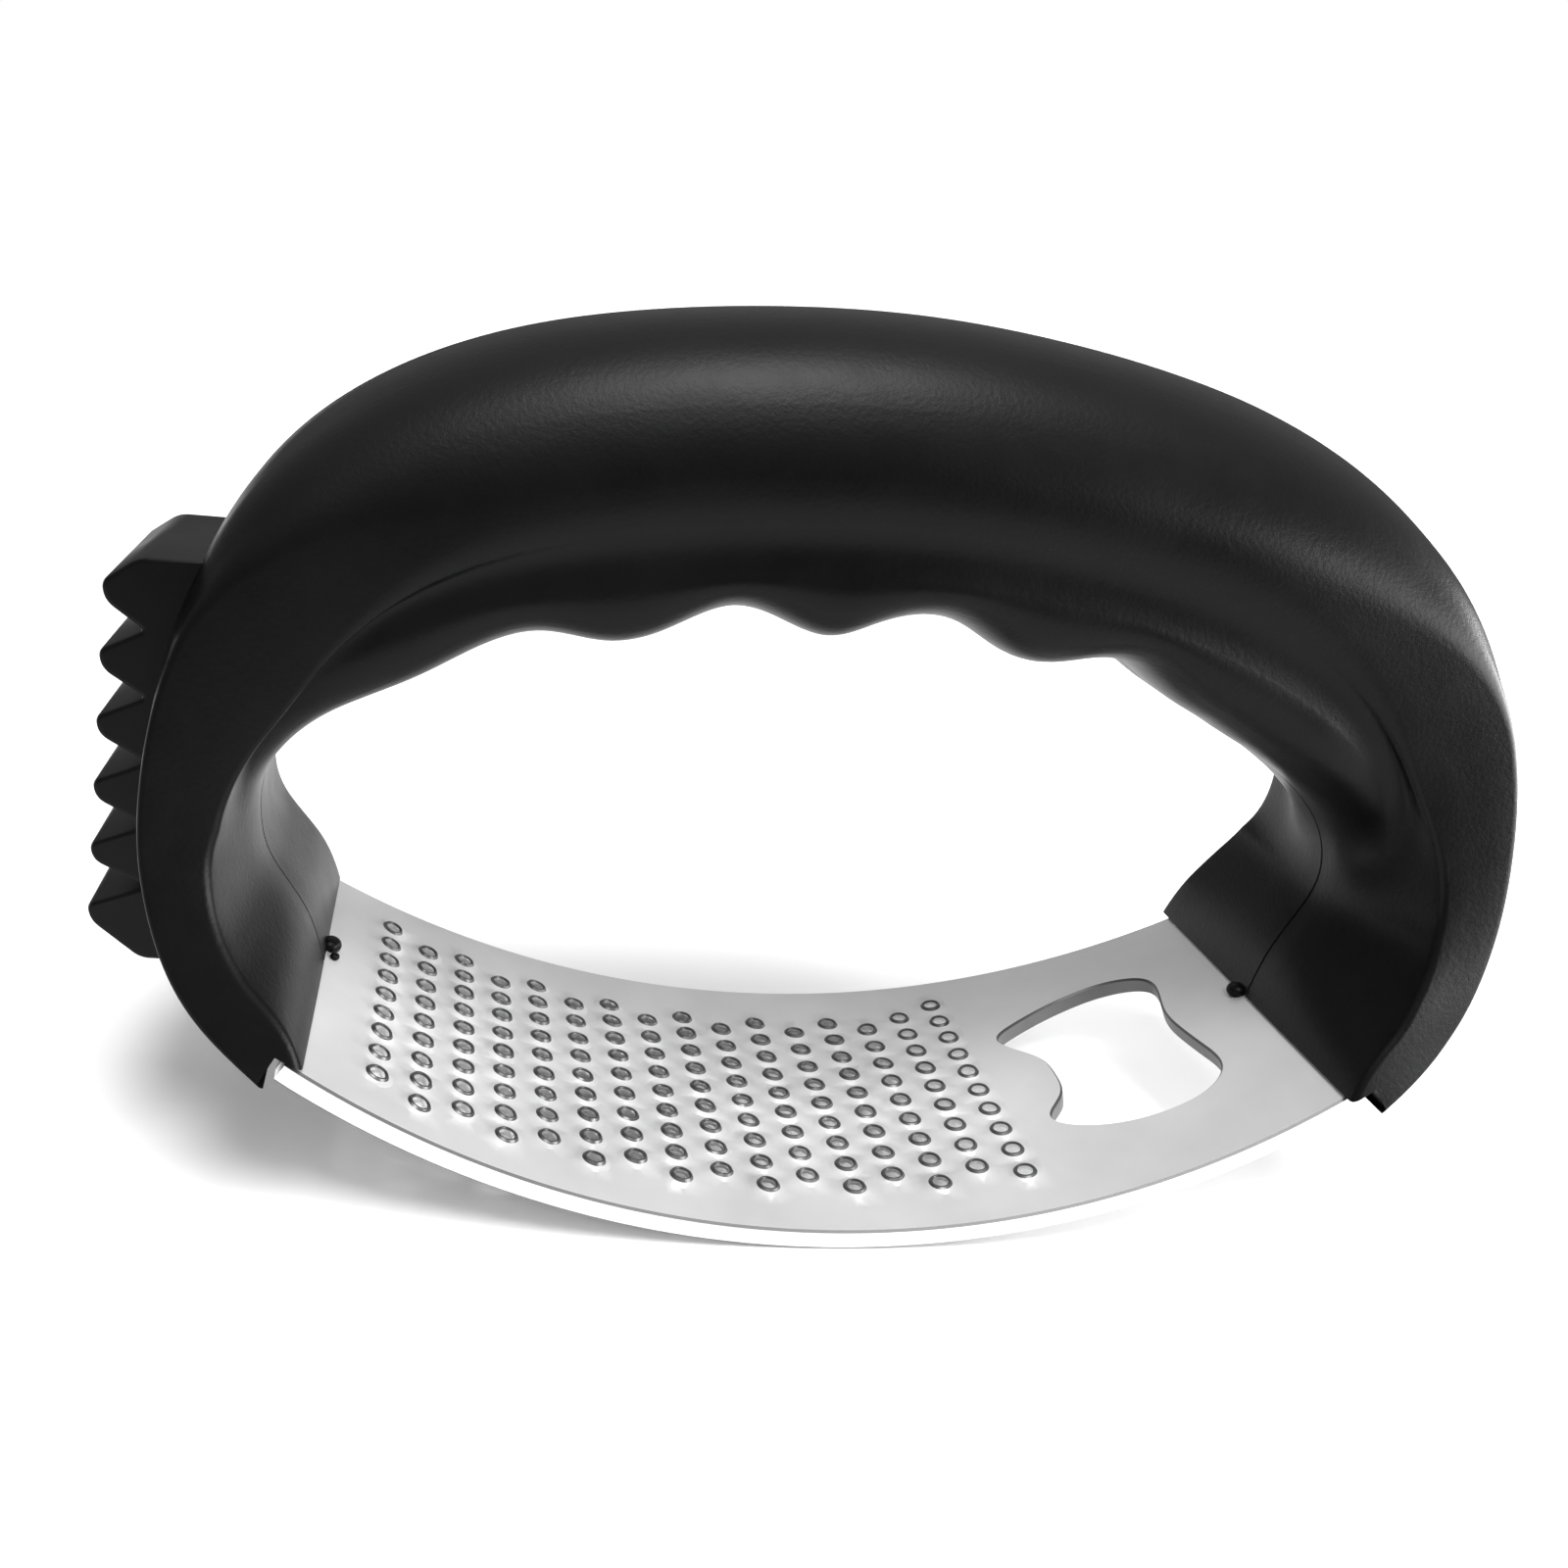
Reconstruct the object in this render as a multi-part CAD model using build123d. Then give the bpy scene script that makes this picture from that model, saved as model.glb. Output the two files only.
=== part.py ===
"""A rocking garlic press: a perforated steel rocker plate held in a two-piece plastic loop handle.

Frame: +X along the rocker, towards the bottle opener; +Y to the back; +Z up.
The origin is the middle of the footprint, at the lowest point of the rocker plate. Millimetres.
"""

import os
from math import cos, degrees, hypot, radians, sin

from build123d import *

# Rocker plate
PLATE_THICKNESS = 2.0
PLATE_RADIUS = 95.9  # upper, concave face
PLATE_REACH = 52.3  # arc from the middle to the handle's inner lip, on the upper face
PLATE_HALF_WIDTH = 20.1  # at the handle
PLATE_BULGE = 2.8  # extra half width at the middle
TAB_LENGTH = 7.0  # straight tab bent up inside each leg
TAB_RISE = 57.0  # degrees above level
TAB_HALF_WIDTH = 15.0
PLATE_GAP = 0.1  # between the plate and the handle's slots
LIP_GAP = 0.3  # between the plate and the handle's lips
MOUTH_REACH = 54.6  # arc from the middle to the end of the slots' open mouths
MOUTH_DEPTH = 1.0  # clear space under the plate there

# Perforations, staggered in columns along the rocker
HOLE_RADIUS = 0.8
HOLE_COLUMNS = 16
HOLES_PER_COLUMN = 9
COLUMN_PITCH = 4.39
ROW_PITCH = 3.66
FIELD_CENTRE_ARC = -12.5  # the hole field is nearer the comb end
FIELD_CENTRE_ROW = -0.74

# Bottle opener
OPENER_NEAR_ARC = 26.0  # the corners beside the tongue
OPENER_FAR_ARC = 45.2

# Loop handle: each station is (outer x, outer z, drop, half depth), end to crown, on both sides.
# The drop is how far the front edge lies inside the crest; the half depth is that edge's |y|.
STATIONS = [
    (53.4, 15.6, 0.0, 21.9),
    (58.5, 20.3, 0.0, 20.4),
    (61.9, 26.0, 0.0, 18.9),
    (63.8, 33.5, 0.0, 17.1),
    (64.0, 41.0, 0.2, 15.7),
    (63.1, 48.5, 0.7, 14.6),
    (60.9, 56.0, 1.6, 13.8),
    (56.8, 63.8, 3.0, 13.3),
    (49.8, 71.0, 5.2, 13.0),
    (39.5, 76.8, 7.2, 13.0),
    (26.5, 80.6, 8.2, 13.0),
    (13.0, 82.6, 8.5, 13.0),
    (0.0, 83.3, 8.5, 13.0),
]
# The loop's inner line at the same stations, as (|x|, z): the comb's leg is slimmer than the other
INNER_LEFT = [
    (49.2, 15.3),
    (51.6, 22.0),
    (54.8, 27.2),
    (56.0, 31.6),
    (55.7, 36.0),
    (53.8, 39.9),
    (50.4, 43.5),
    (45.6, 46.4),
    (39.5, 49.2),
    (31.5, 51.4),
    (21.0, 53.0),
    (10.5, 54.2),
    (0.0, 54.6),
]
INNER_RIGHT = [
    (49.2, 15.3),
    (50.9, 21.6),
    (52.9, 26.4),
    (54.3, 30.6),
    (53.8, 34.4),
    (51.9, 37.8),
    (48.8, 40.8),
    (44.6, 43.6),
    (39.3, 46.4),
    (31.5, 49.6),
    (21.0, 52.6),
    (10.5, 54.2),
    (0.0, 54.6),
]
LEG_STATION = 3  # up to this one the section is plain leg, without the grip's hollow flank
GRIP_STATION = 8  # from this one on it is the full grip section
BAND_WIDTH = 6.5  # flat band along the front edge
BAND_SHARE = 0.75  # the most of a thin leg that the band takes
FOOT_BAND_SHARE = 0.93  # the same at the very end
BAND_SETBACK = 1.3  # how far the band's inner edge lies behind its outer edge
CROWN_MIDDLE = (0.3, 0.68)  # the crown's middle point: share of the drop, share of the depth

# Hollow of the handle
WALL = 2.4
FACE_WALL = 3.0  # at the front and back faces
CAVITY_START_LEFT = 7  # the comb's leg is solid
CAVITY_START_RIGHT = 4

# Finger grooves under the grip: (x of the deepest point, z of it, radius)
GROOVES = [(-31.6, 53.3, 16.0), (-14.3, 56.8, 17.5), (3.0, 57.6, 24.0), (20.8, 54.9, 15.0)]
GROOVE_DEPTH = 2.6

# Scaler comb on the outside of the left leg
COMB_BASE_X = -58.6
COMB_VALLEY_X = -64.6
COMB_TIP_X = -70.2
COMB_LEAN = 0.36  # each tip up the comb stands this much less proud
COMB_HALF_DEPTH = 9.5
COMB_BOTTOM_Z = 20.9
COMB_TOP_Z = 57.7
COMB_TEETH = 6
COMB_FIRST_TIP_Z = 25.7
COMB_PITCH = 5.85
COMB_TIP_ROUNDING = 0.9
PEG_RADIUS = 1.8
PEG_LENGTH = 2.4
PEG_HEIGHTS = (31.0, 45.0)
PEG_GAP = 0.1

# Screws that draw the shells together from the back, at the middle of these stations
SCREW_STATIONS = {"leg": 7, "grip": 10}
SCREW_SHANK_RADIUS = 1.45
SCREW_HEAD_RADIUS = 2.8
SCREW_HEAD_HEIGHT = 2.0
SCREW_HEAD_Y = 5.0  # underside of the head
SCREW_TIP_Y = -8.0
PILOT_RADIUS = 1.5
PILOT_END_Y = -8.5
CLEARANCE_RADIUS = 1.7
HEAD_WELL_RADIUS = 3.2
BOSS_RADIUS = 4.3
DRIVE_WIDTH = 0.7
DRIVE_LENGTH = 3.0
DRIVE_DEPTH = 1.1

# Dowels moulded on the front shell, in sockets of the back shell
DOWEL_PLACES = ((-56.4, 27.4), (56.4, 27.4))
DOWEL_RADIUS = 1.1
DOWEL_LENGTH = 3.0
SOCKET_GAP = 0.1

PLATE_CENTRE_Z = PLATE_THICKNESS + PLATE_RADIUS
SOLE_RADIUS = PLATE_RADIUS + PLATE_THICKNESS
CLEAR = 60.0  # longer than any cut needs


# ---------------------------------------------------------------- rocker plate


def on_plate(arc, y, height=0.0):
    """The point at an arc length from the middle and a height over the plate's upper face."""
    angle = arc / PLATE_RADIUS
    radius = PLATE_RADIUS - height
    return (radius * sin(angle), y, PLATE_CENTRE_Z - radius * cos(angle))


def arc_band(inner, outer, reach):
    """Part of a tube wall about the rocker's axis, between two radii, over an arc each side."""
    ring = Cylinder(outer, CLEAR) - Cylinder(inner, 2 * CLEAR)
    ring = Pos(0, 0, PLATE_CENTRE_Z) * Rot(90, 0, 0) * ring
    half_angle = reach / PLATE_RADIUS
    side = 2 * outer * sin(half_angle)
    foot = PLATE_CENTRE_Z - 2 * outer * cos(half_angle)
    wedge = Plane.XZ * make_face(Polyline((0, PLATE_CENTRE_Z), (side, foot), (-side, foot), close=True))
    return ring & extrude(wedge, CLEAR, both=True)


def plate_outline(gap):
    """The plate seen from above, with sides that bow out towards the middle."""
    lip = on_plate(PLATE_REACH, 0)[0]
    end = lip + 2 * PLATE_THICKNESS
    width = PLATE_HALF_WIDTH + gap
    middle = width + PLATE_BULGE
    front = ThreePointArc((-lip, -width), (0, -middle), (lip, -width))
    back = ThreePointArc((lip, width), (0, middle), (-lip, width))
    right = Polyline((lip, -width), (end, -width), (end, width), (lip, width))
    left = Polyline((-lip, width), (-end, width), (-end, -width), (-lip, -width))
    return make_face([front, right, back, left])


def end_tab(gap):
    """The straight tab bent up from the plate's +X end."""
    root_top = Vector(*on_plate(PLATE_REACH - PLATE_THICKNESS / 2, 0, gap))
    root_sole = Vector(*on_plate(PLATE_REACH, 0, -PLATE_THICKNESS - gap))
    along = Vector(cos(radians(TAB_RISE)), 0, sin(radians(TAB_RISE)))
    across = Vector(along.Z, 0, -along.X)
    corner = Vector(*on_plate(PLATE_REACH, 0, gap))
    tip_top = corner + along * (TAB_LENGTH + gap)
    tip_sole = tip_top + across * (PLATE_THICKNESS + 2 * gap)
    outline = Polyline(root_top, corner, tip_top, tip_sole, root_sole, close=True)
    return extrude(make_face(outline), TAB_HALF_WIDTH + gap, dir=(0, 1, 0), both=True)


def plate_blank(gap=0.0):
    """The plate without its holes, or the space that it takes in the handle."""
    blank = arc_band(PLATE_RADIUS - gap, SOLE_RADIUS + gap, PLATE_REACH + gap)
    blank &= extrude(plate_outline(gap), CLEAR)
    tab = end_tab(gap)
    return blank + tab + mirror(tab, Plane.YZ)


def perforations():
    """Radial drills in staggered columns."""
    drills = []
    for column in range(HOLE_COLUMNS):
        arc = FIELD_CENTRE_ARC + (column + 0.5 - HOLE_COLUMNS / 2) * COLUMN_PITCH
        turn = Rot(0, -degrees(arc / PLATE_RADIUS), 0)
        last = column == HOLE_COLUMNS - 1
        first_row = -0.5 if last else 0.5 * (column % 2)
        for row in range(HOLES_PER_COLUMN + last):
            y = FIELD_CENTRE_ROW + (HOLES_PER_COLUMN / 2 - 0.25 - first_row - row) * ROW_PITCH
            drills.append(Pos(*on_plate(arc, y)) * turn * Cylinder(HOLE_RADIUS, 4 * PLATE_THICKNESS))
    return drills


def opener_outline():
    """The bottle opener's hole seen from above: a round tongue faces a waved far side."""
    near = on_plate(OPENER_NEAR_ARC, 0)[0]
    far = on_plate(OPENER_FAR_ARC, 0)[0]
    tongue = ThreePointArc((near + 0.3, -8.3), (near + 3.4, -1.0), (near - 0.7, 7.3))
    back = Spline((near - 0.7, 7.3), (near + 5.8, 11.2), (near + 12.2, 12.6), (near + 16.9, 11.3))
    wave = Spline(back @ 1, (far - 0.5, 8.9), (far - 1.4, 4.2), (far - 1.2, 0.0), (far - 0.2, -4.2))
    front = Spline(wave @ 1, (far - 0.5, -8.6), (far - 4.2, -11.4), (near + 9.0, -11.9), tongue @ 0)
    return make_face([tongue, back, wave, front])


def rocker_plate():
    """The steel rocker with its perforations and opener."""
    return plate_blank() - extrude(opener_outline(), CLEAR) - perforations()


# ---------------------------------------------------------------- handle sections


def grip_share(index):
    """0 on the plain leg, 1 on the grip, and a smooth change between."""
    t = (index - LEG_STATION) / (GRIP_STATION - LEG_STATION)
    t = min(1.0, max(0.0, t))
    return t * t * (3 - 2 * t)


def mix(leg, grip, share):
    return leg + (grip - leg) * share


def station_ends(index, side):
    """A station's crest and inner point, as (x, z) each, on the +X (1) or -X (-1) side."""
    outer_x, outer_z = STATIONS[index][:2]
    inner_x, inner_z = (INNER_LEFT if side < 0 else INNER_RIGHT)[index]
    return (side * outer_x, outer_z), (side * inner_x, inner_z)


def station_length(index, side):
    (outer_x, outer_z), (inner_x, inner_z) = station_ends(index, side)
    return hypot(outer_x - inner_x, outer_z - inner_z)


def at_station(index, inward, y, side):
    """A point at a station: its distance in from the crest, and its y."""
    (outer_x, outer_z), (inner_x, inner_z) = station_ends(index, side)
    t = inward / station_length(index, side)
    return Vector(mix(outer_x, inner_x, t), y, mix(outer_z, inner_z, t))


def band_end(index, length):
    """The distance in from the crest to the band's inner edge."""
    drop = STATIONS[index][2]
    share = BAND_SHARE if index > 0 else FOOT_BAND_SHARE
    return min(drop + BAND_WIDTH, share * length)


def flank_points(index, length, face):
    """The front flank below the band, as (distance in, y): nearly flat on a leg, waisted on the grip."""
    share = grip_share(index)
    band = face - BAND_SETBACK
    ridge = band_end(index, length)
    return [
        (mix(mix(ridge, length, 0.45), 0.64 * length, share), -mix(0.68 * band, band - 0.7, share)),
        (mix(mix(ridge, length, 0.8), 0.84 * length, share), -mix(0.4 * band, band + 0.1, share)),
        (mix(mix(ridge, length, 0.97), 0.96 * length, share), -mix(0.15 * band, 0.6 * band, share)),
    ]


def outer_section(index, side):
    """The front half of the handle's section at a station, as a closed wire."""
    drop, face = STATIONS[index][2:]
    length = station_length(index, side)
    rise, reach = CROWN_MIDDLE
    crest = at_station(index, 0, 0, side)
    crown_middle = at_station(index, rise * drop, -reach * face, side)
    edge = at_station(index, drop, -face, side)
    ridge = at_station(index, band_end(index, length), BAND_SETBACK - face, side)
    flank = [at_station(index, d, y, side) for d, y in flank_points(index, length, face)]
    inner = at_station(index, length, 0, side)
    return Wire(
        [
            Spline(crest, crown_middle, edge),
            Line(edge, ridge),
            Spline(ridge, *flank, inner),
            Line(inner, crest),
        ]
    )


def cavity_section(index, side):
    """The front half of the hollow's section at a station."""
    drop, face = STATIONS[index][2:]
    length = station_length(index, side)
    floor = face - FACE_WALL
    deepest = length - WALL - GROOVE_DEPTH * grip_share(index)
    waist = floor - BAND_SETBACK - 1.0
    corners = [
        (WALL, 0),
        (drop + WALL, -floor),
        (0.45 * length, -waist),
        (0.9 * deepest, -waist),
        (deepest, 0),
    ]
    return Wire(Polyline(*[at_station(index, d, y, side) for d, y in corners], close=True).edges())


def loft_ring(section, start_left, start_right):
    """Lofts a section along the loop, from a station on the left over the crown to one on the right."""
    crown = len(STATIONS) - 1
    stops = [(i, -1) for i in range(start_left, crown)]
    stops += [(i, 1) for i in range(crown, start_right - 1, -1)]
    return Solid.make_loft([section(i, side) for i, side in stops])


# ---------------------------------------------------------------- handle parts


def along_y(x, z, start, end, radius):
    """A cylinder along Y at (x, z)."""
    return Pos(x, (start + end) / 2, z) * Rot(90, 0, 0) * Cylinder(radius, abs(end - start))


def screw_places():
    """The screws' names with their (x, z)."""
    places = {}
    for where, index in SCREW_STATIONS.items():
        for hand, side in (("left", -1), ("right", 1)):
            middle = at_station(index, station_length(index, side) / 2, 0, side)
            places[f"{where}_screw_{hand}"] = (middle.X, middle.Z)
    return places


def grooves():
    """The cylinders that shape the finger grooves."""
    return [along_y(x, z - radius, -CLEAR, CLEAR, radius) for x, z, radius in GROOVES]


def plate_mouth():
    """The slots' mouths, where the plate's full thickness runs in from side to side."""
    return arc_band(PLATE_RADIUS - LIP_GAP, SOLE_RADIUS + MOUTH_DEPTH, MOUTH_REACH)


def comb_outline(gap=0.0):
    """The comb's toothed outline, in the XZ plane."""
    points = [(COMB_BASE_X + gap, COMB_BOTTOM_Z - gap), (COMB_VALLEY_X - 1.7, COMB_BOTTOM_Z - gap)]
    for tooth in range(COMB_TEETH):
        tip_z = COMB_FIRST_TIP_Z + tooth * COMB_PITCH
        points.append((COMB_TIP_X + tooth * COMB_LEAN, tip_z))
        points.append((COMB_VALLEY_X, tip_z + COMB_PITCH / 2))
    points[-1] = (COMB_VALLEY_X - 0.6, COMB_TOP_Z + gap)
    points.append((COMB_BASE_X + gap, COMB_TOP_Z + gap))
    return Plane.XZ * make_face(Polyline(*points, close=True))


def scaler_comb():
    """The toothed comb with its pegs."""
    comb = extrude(comb_outline(), COMB_HALF_DEPTH, both=True)
    tips = [e for e in comb.edges().filter_by(Axis.Y) if e.center().X < COMB_VALLEY_X - 2]
    comb = fillet(tips, COMB_TIP_ROUNDING)
    for height in PEG_HEIGHTS:
        comb += peg(height, 0.0)
    return comb


def peg(height, gap):
    """One of the comb's pegs, or the hole that takes it."""
    start = COMB_BASE_X - 1.0
    end = COMB_BASE_X + PEG_LENGTH + gap
    return Pos((start + end) / 2, 0, height) * Rot(0, 90, 0) * Cylinder(PEG_RADIUS + gap, end - start)


def comb_seat():
    """What the comb takes out of the two shells."""
    seat = extrude(comb_outline(PEG_GAP), COMB_HALF_DEPTH + PEG_GAP, both=True)
    for height in PEG_HEIGHTS:
        seat += peg(height, PEG_GAP)
    return seat


def shell(y_sign, ring, cavity):
    """A half of the handle, hollowed, bossed and slotted: the front at -1, the back at +1."""
    flip = (lambda solid: solid) if y_sign < 0 else (lambda solid: mirror(solid, Plane.XZ))
    body = flip(ring)
    bosses = [along_y(x, z, 0, y_sign * CLEAR, BOSS_RADIUS) & body for x, z in screw_places().values()]
    body -= flip(cavity)
    for boss in bosses:
        body += boss
    return body - plate_mouth() - plate_blank(PLATE_GAP) - grooves() - comb_seat()


def front_shell(ring, cavity):
    """The front half, with screw pilots and dowels."""
    body = shell(-1, ring, cavity)
    for x, z in screw_places().values():
        body -= along_y(x, z, 1, PILOT_END_Y, PILOT_RADIUS)
    for x, z in DOWEL_PLACES:
        body += along_y(x, z, -1, DOWEL_LENGTH, DOWEL_RADIUS)
    return body


def back_shell(ring, cavity):
    """The back half, with screw holes, wells for the heads and sockets for the dowels."""
    body = shell(1, ring, cavity)
    for x, z in screw_places().values():
        body -= along_y(x, z, -1, CLEAR, CLEARANCE_RADIUS)
        body -= along_y(x, z, SCREW_HEAD_Y, CLEAR, HEAD_WELL_RADIUS)
    for x, z in DOWEL_PLACES:
        body -= along_y(x, z, -1, DOWEL_LENGTH + SOCKET_GAP, DOWEL_RADIUS + SOCKET_GAP)
    return body


def screw(x, z):
    """A pan-head self-tapping screw with a cross recess, driven from the back."""
    head_top = SCREW_HEAD_Y + SCREW_HEAD_HEIGHT
    head = along_y(x, z, SCREW_HEAD_Y, head_top, SCREW_HEAD_RADIUS)
    head = fillet(head.edges().group_by(Axis.Y)[-1], SCREW_HEAD_HEIGHT / 2)
    shank = along_y(x, z, SCREW_TIP_Y, SCREW_HEAD_Y, SCREW_SHANK_RADIUS)
    shank = chamfer(shank.edges().group_by(Axis.Y)[0], SCREW_SHANK_RADIUS / 2)
    recess = Box(DRIVE_LENGTH, 2 * DRIVE_DEPTH, DRIVE_WIDTH) + Box(DRIVE_WIDTH, 2 * DRIVE_DEPTH, DRIVE_LENGTH)
    return head + shank - Pos(x, head_top, z) * recess


def build():
    """Every piece of the press by name, about the middle of the loop."""
    ring = loft_ring(outer_section, 0, 0)
    cavity = loft_ring(cavity_section, CAVITY_START_LEFT, CAVITY_START_RIGHT)
    pieces = {
        "rocker_plate": rocker_plate(),
        "handle_front_shell": front_shell(ring, cavity),
        "handle_back_shell": back_shell(ring, cavity),
        "scaler_comb": scaler_comb(),
    }
    for name, (x, z) in screw_places().items():
        pieces[name] = screw(x, z)
    return pieces


pieces = build()
footprint = [piece.bounding_box() for piece in pieces.values()]
middle_x = (min(box.min.X for box in footprint) + max(box.max.X for box in footprint)) / 2
os.makedirs("parts", exist_ok=True)
for name, piece in pieces.items():
    export_step(Pos(-middle_x, 0, 0) * piece, f"parts/{name}.step")
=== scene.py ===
"""The looks of a rocking garlic press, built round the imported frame.

Shapes are worked out in millimetres about the middle of the loop handle, with z = 0 at the lowest point of
the rocker, and moved into the frame, in metres, when a mesh is made.
"""

import random
from math import atan2, cos, hypot, pi, radians, sin

import bmesh
import bpy
import numpy as np
from mathutils import Matrix, Vector
from mathutils.geometry import delaunay_2d_cdt


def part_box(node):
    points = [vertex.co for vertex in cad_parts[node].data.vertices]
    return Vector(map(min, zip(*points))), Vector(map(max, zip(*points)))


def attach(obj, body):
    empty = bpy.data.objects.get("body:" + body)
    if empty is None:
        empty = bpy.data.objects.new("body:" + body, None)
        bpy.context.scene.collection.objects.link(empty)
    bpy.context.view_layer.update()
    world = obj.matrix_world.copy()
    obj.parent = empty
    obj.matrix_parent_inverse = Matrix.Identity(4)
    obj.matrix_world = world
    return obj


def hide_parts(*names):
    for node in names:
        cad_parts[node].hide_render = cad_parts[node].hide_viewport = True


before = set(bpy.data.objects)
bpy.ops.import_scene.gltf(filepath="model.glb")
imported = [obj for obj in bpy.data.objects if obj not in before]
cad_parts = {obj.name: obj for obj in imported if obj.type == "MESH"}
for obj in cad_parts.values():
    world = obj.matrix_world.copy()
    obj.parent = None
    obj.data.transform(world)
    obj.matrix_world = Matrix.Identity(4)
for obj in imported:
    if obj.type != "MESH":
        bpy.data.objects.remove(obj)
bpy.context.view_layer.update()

MM = 0.001
shell_low, shell_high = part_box("handle_front_shell")
RING_CENTRE_X = (shell_low.x + shell_high.x) / 2

# Rocker plate
PLATE_THICKNESS = 2.0
PLATE_RADIUS = 95.9
PLATE_REACH = 52.3
PLATE_HALF_WIDTH = 20.1
PLATE_BULGE = 2.8
PLATE_CENTRE_Z = PLATE_THICKNESS + PLATE_RADIUS
PLATE_BEVEL = 0.22
PLATE_HIDDEN = 1.6  # how far each end goes on inside the handle's mouth
OUTLINE_STEP = 1.3
MESH_STEP = 1.7
EDGE_CLEARANCE = 0.6 * MESH_STEP
HOLE_CLEARANCE = 0.35

HOLE_COLUMNS = 16
HOLES_PER_COLUMN = 9
COLUMN_PITCH = 4.39
ROW_PITCH = 3.66
FIELD_CENTRE_ARC = -12.5
FIELD_CENTRE_ROW = -0.74
HOLE_SEGMENTS = 20
# Crater rings round a hole: (radius, height over the top face, height over the sole)
CRATER = [(0.78, 0.30, 1.90), (0.86, 0.46, 1.78), (1.02, 0.46, 1.45), (1.20, 0.22, 0.80), (1.75, 0.0, 0.0)]
# A rim higher than RIM_RISE over the top face gets painted shade; the rest of a hole's inside gets painted
# light.
RIM_RADIUS = 1.12  # faces nearer to a hole's middle than this are its rim or its inside
RIM_RISE = 0.2
RIM_LIFT = (0.85, 1.15)
RIM_LEAN = 0.10
RIM_SEED = 7
# Faces further than OFF_THE_FLAT from the flat top or sole, away from the holes, are bevels and walls that
# get painted shade.
OFF_THE_FLAT = 0.02
# Slot 1 is sheared edge steel, brightened as a painted highlight on the sides and as painted light inside
# the holes.
# Slot 2 is dark steel that paints shade on the hole rims, the bevels and the end walls.
SATIN, SHEARED_AND_PAINTED_LIGHT, PAINTED_SHADE = 0, 1, 2  # the plate's material slots

OPENER_NEAR_ARC = 26.0
OPENER_FAR_ARC = 45.2
OPENER_POINTS = 150

# Loop handle: (outer x, outer z, drop, half depth), from an end to the crown
STATIONS = [
    (53.4, 15.6, 0.0, 21.9),
    (58.5, 20.3, 0.0, 20.4),
    (61.9, 26.0, 0.0, 18.9),
    (63.8, 33.5, 0.0, 17.1),
    (64.0, 41.0, 0.2, 15.7),
    (63.1, 48.5, 0.7, 14.6),
    (60.9, 56.0, 1.6, 13.8),
    (56.8, 63.8, 3.0, 13.3),
    (49.8, 71.0, 4.6, 13.0),
    (39.5, 76.8, 6.0, 13.0),
    (26.5, 80.6, 6.8, 13.0),
    (13.0, 82.6, 7.0, 13.0),
    (0.0, 83.3, 7.0, 13.0),
]
# The loop's inner line at the same stations, as (x, z), for each side
INNER_LEFT = [
    (49.5, 15.0), (51.6, 22.0), (54.8, 27.2), (56.0, 31.6), (55.7, 36.0), (53.8, 39.9), (50.4, 43.5),
    (45.6, 46.4), (39.5, 49.2), (31.5, 51.4), (21.0, 53.0), (10.5, 54.2), (0.0, 54.6),
]
INNER_RIGHT = [
    (49.5, 15.0), (50.9, 21.6), (52.9, 26.4), (54.3, 30.6), (53.8, 34.4), (51.9, 37.8), (48.8, 40.8),
    (44.6, 43.6), (39.3, 46.4), (31.5, 49.6), (21.0, 52.6), (10.5, 54.2), (0.0, 54.6),
]
LEG_STATION = 3
GRIP_STATION = 8
FOOT_STATION = 1.6  # up to here the band grows narrower, from the whole width of the leg
SOFT_FROM = 5.5  # from here to SOFT_TO the section's edges grow softer
SOFT_TO = 9.5
SIDE_CHANGE = 15.0  # half the stretch at the crown where the left side's section turns into the right's
HALF_LENGTH = 64.07  # the skin's greatest reach in x
HANDLE_ANGLE = 38  # degrees; sharper edges of the skin are left unsmoothed
LOOP_STEPS = 300
CORNER_STEPS = 7
LEG_STEPS = 3

# The handle's section, in millimetres from its crest or as shares of its length, depth, drop or shoulder
BAND_WIDTH_LEFT = 6.5
BAND_WIDTH_RIGHT = 7.2
BAND_SHARE = 0.72
BAND_SETBACK = 1.3
BACK_BAND_SHARE = 0.94
BACK_BAND_EXTRA = 1.8
FLANK_SETBACK = 0.1
GRIP_FLANK_TOP = 15.6
SOFT_SHOULDER = 3.4
CRISP_CREST_SHARE = 0.34
SOFT_CREST_SHARE = 0.27
CRISP_SLOPE_SHARE = 0.15
SOFT_SLOPE_SHARE = 0.37
SLOPE_DEPTH_SHARE = 0.73
RIGHT_EDGE_SETBACK = 0.35
LEFT_EDGE_ROUNDING = 0.7
RIGHT_EDGE_ROUNDING = 0.9
SOFT_EDGE_ROUNDING = 3.7
SEAM_WIDTH = 0.16
SEAM_DEPTH = 0.25

# The slot that each leg has for the plate
LIP_GAP = 0.3
MOUTH_NEAR_ARC = 46.0
MOUTH_FAR_ARC = 55.3
MOUTH_STEPS = 10
MOUTH_DEPTH = 3.0
PAST_SKIN = 30.0  # a depth past the handle's skin, for cuts right through

# The knobs at the ends of the parting line
NUB_FLATTENING = 0.8
NUB_HEIGHT = 0.25

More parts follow.
